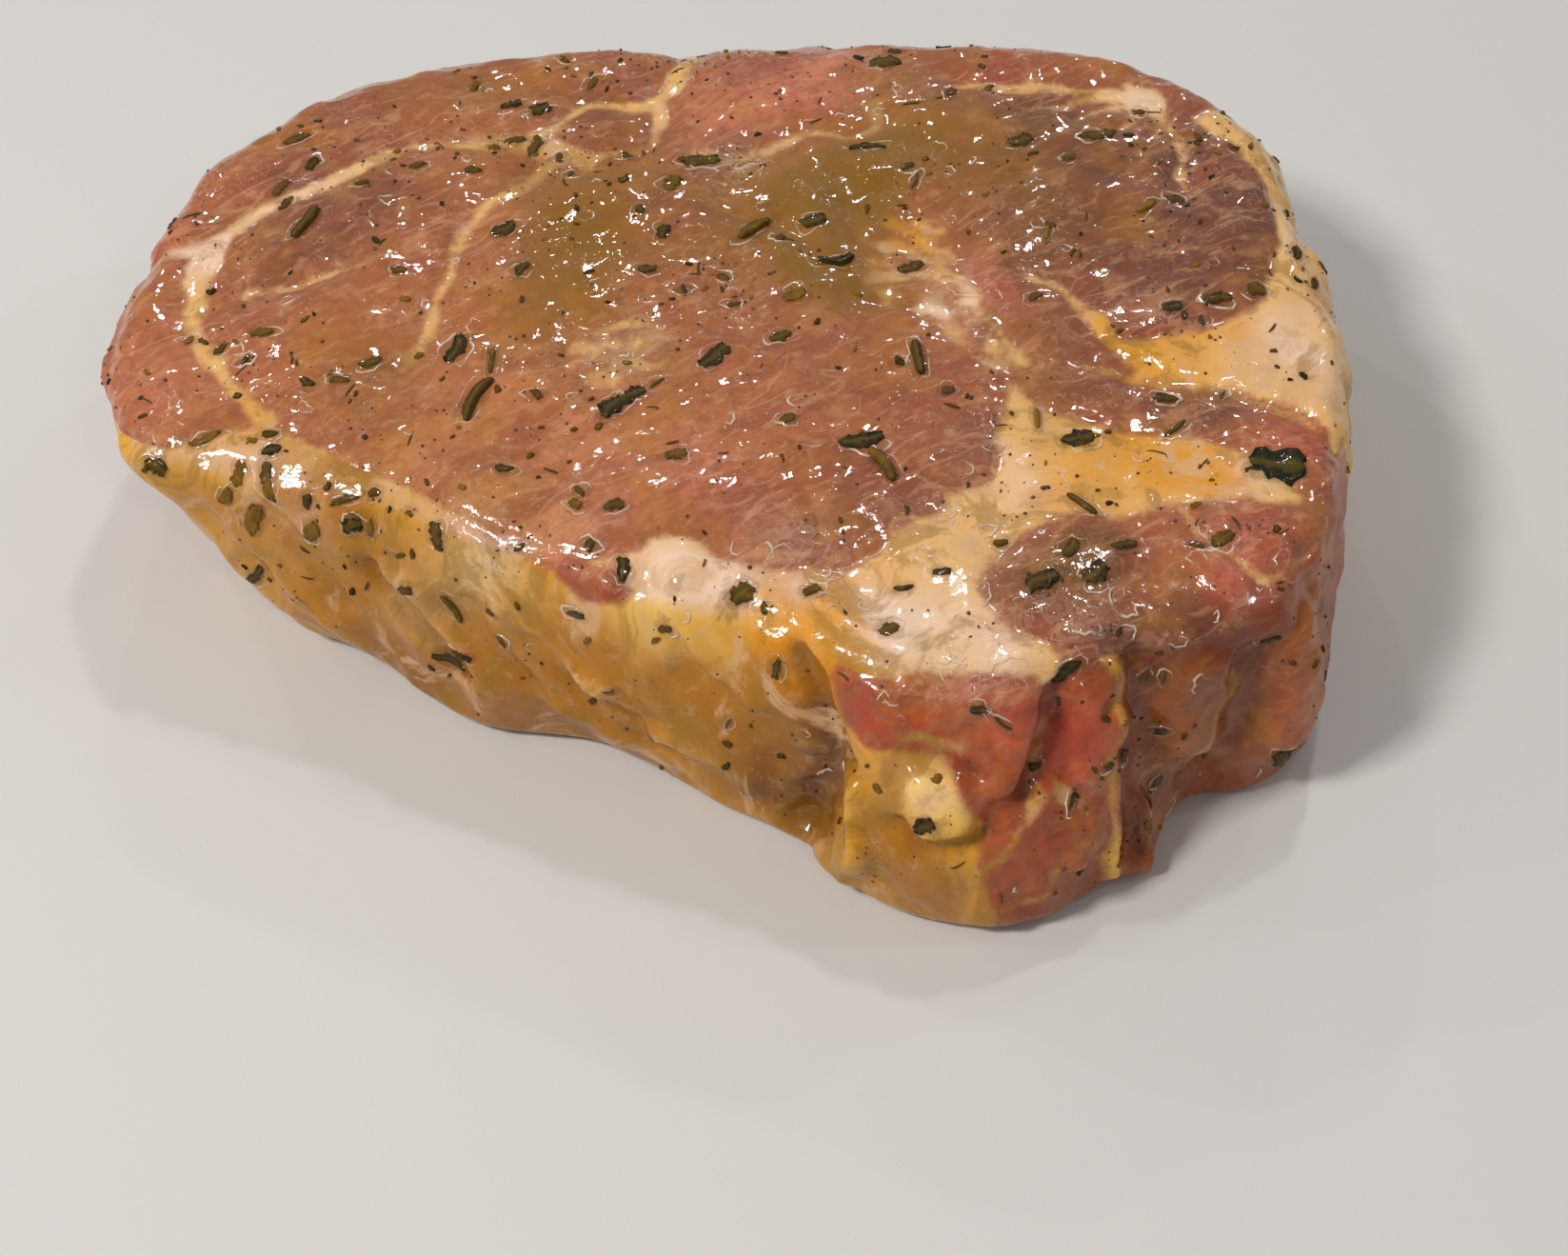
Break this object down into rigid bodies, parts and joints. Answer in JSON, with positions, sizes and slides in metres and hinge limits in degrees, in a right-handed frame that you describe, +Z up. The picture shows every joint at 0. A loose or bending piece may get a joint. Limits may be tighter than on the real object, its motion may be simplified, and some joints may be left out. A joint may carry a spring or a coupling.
{
  "type": "raw pork chop",
  "caption": "Thick raw pork shoulder chop in a herb marinade, lying on its flat underside, with a fat cap along the front edge.",
  "frame": {"origin": "middle of the chop's box, on the flat underside", "axes": "+X along the chop's length, the fat cap facing -Y, +Z up from the underside through the cut face"},
  "size_m": [0.1792, 0.1472, 0.0421],
  "materials": {
    "meat": "wet raw pork, lean and fat",
    "herb": "wet dried herb leaf and stem",
    "spice": "wet cracked pepper and spice",
    "marinade": "clear oily marinade"
  },
  "bodies": {
    "root": {"chop": "meat"}
  },
  "joints": []
}
